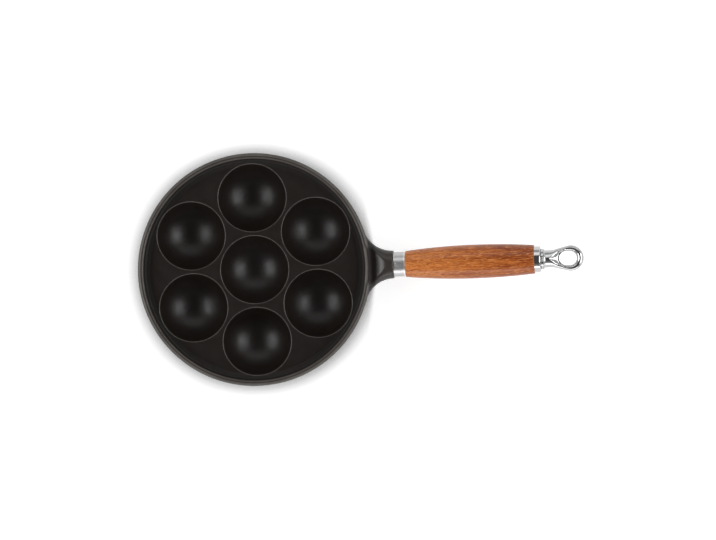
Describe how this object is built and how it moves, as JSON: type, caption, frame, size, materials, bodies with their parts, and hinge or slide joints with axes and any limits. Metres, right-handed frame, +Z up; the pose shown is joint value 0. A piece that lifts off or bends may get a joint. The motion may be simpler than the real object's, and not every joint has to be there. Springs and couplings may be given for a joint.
{
  "type": "aebleskiver pan",
  "caption": "Shallow round enamelled cast-iron pan with round wells in its deck, a flared handle boss, and a turned wooden handle on a tie rod that ends in a hanging eye.",
  "frame": {"origin": "centre of the middle well's flat pad on the resting plane, under the pan's axis", "axes": "+Z up along the pan's axis, +X from the pan towards the handle, +Y to the left of the handle"},
  "size_m": [0.3978, 0.208, 0.0551],
  "materials": {
    "enamel": "satin black enamel on cast iron",
    "ferrule_steel": "turned and brushed stainless steel",
    "washer_steel": "zinc-plated steel",
    "beech": "stained and varnished beech",
    "cap_steel": "polished stainless steel",
    "eye_metal": "polished chrome on a cast eye",
    "rod_steel": "plain drawn steel with rolled threads"
  },
  "bodies": {
    "pan": {"pan_body": "enamel"},
    "grip": {"front_ferrule": "ferrule_steel", "front_washer": "washer_steel", "wood_grip": "beech", "rear_ferrule": "cap_steel", "spring_washer": "washer_steel"},
    "eye": {"hanging_eye": "eye_metal", "tie_rod": "rod_steel"}
  },
  "joints": [
    {"name": "grip_slide", "type": "slide", "parent": "pan", "child": "grip", "axis": [0.9925, 0, 0.1219], "range_m": [0, 0.015]},
    {"name": "eye_screw", "type": "hinge", "parent": "grip", "child": "eye", "pos_m": [0.25602, 0, 0.04309], "axis": [0.9925, 0, 0.1219], "range_deg": [0, 4320]}
  ],
  "couplings": [
    {"joint": "eye_screw", "follows": "grip_slide", "rad_per_m": 5026.5}
  ]
}
